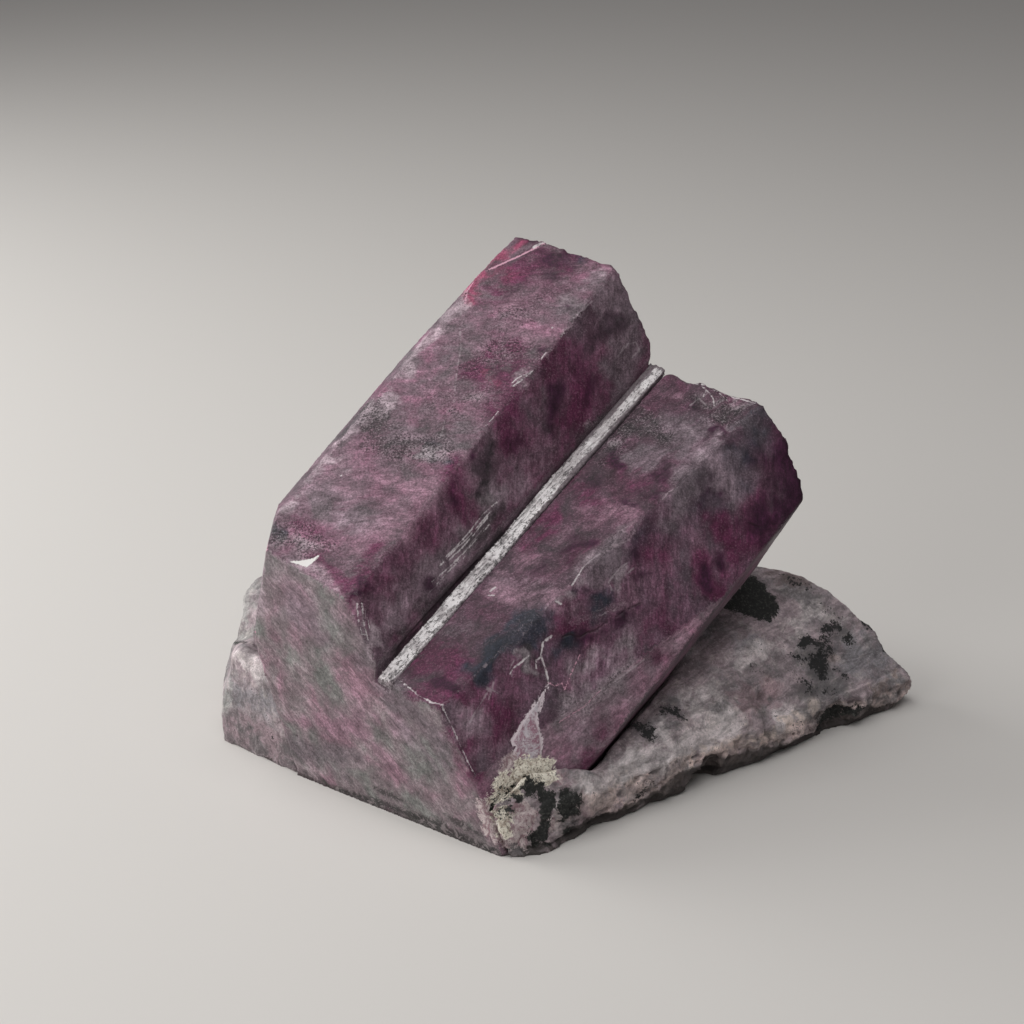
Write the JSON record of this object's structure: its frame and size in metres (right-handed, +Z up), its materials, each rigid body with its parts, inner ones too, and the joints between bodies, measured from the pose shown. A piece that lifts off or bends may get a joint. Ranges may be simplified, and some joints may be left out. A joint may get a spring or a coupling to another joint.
{
  "type": "beryl on rhodonite specimen",
  "caption": "Intergrown dusky pink beryl prisms leaning out of a broken block of black-veined rhodonite, with a pale quartz strip along their seam and a sawn flat underside.",
  "frame": {"origin": "middle of the specimen's footprint, on the surface it stands on", "axes": "+X along the longest side, with the rock's slab at that end; +Z up; the flat cut front faces -X and -Y"},
  "size_m": [0.1218, 0.0984, 0.079],
  "materials": {
    "beryl": "satin",
    "quartz": "matte",
    "rhodonite": "matte"
  },
  "bodies": {
    "root": {"beryl_crystals": "beryl", "seam_vein": "quartz", "rhodonite_matrix": "rhodonite"}
  },
  "joints": []
}
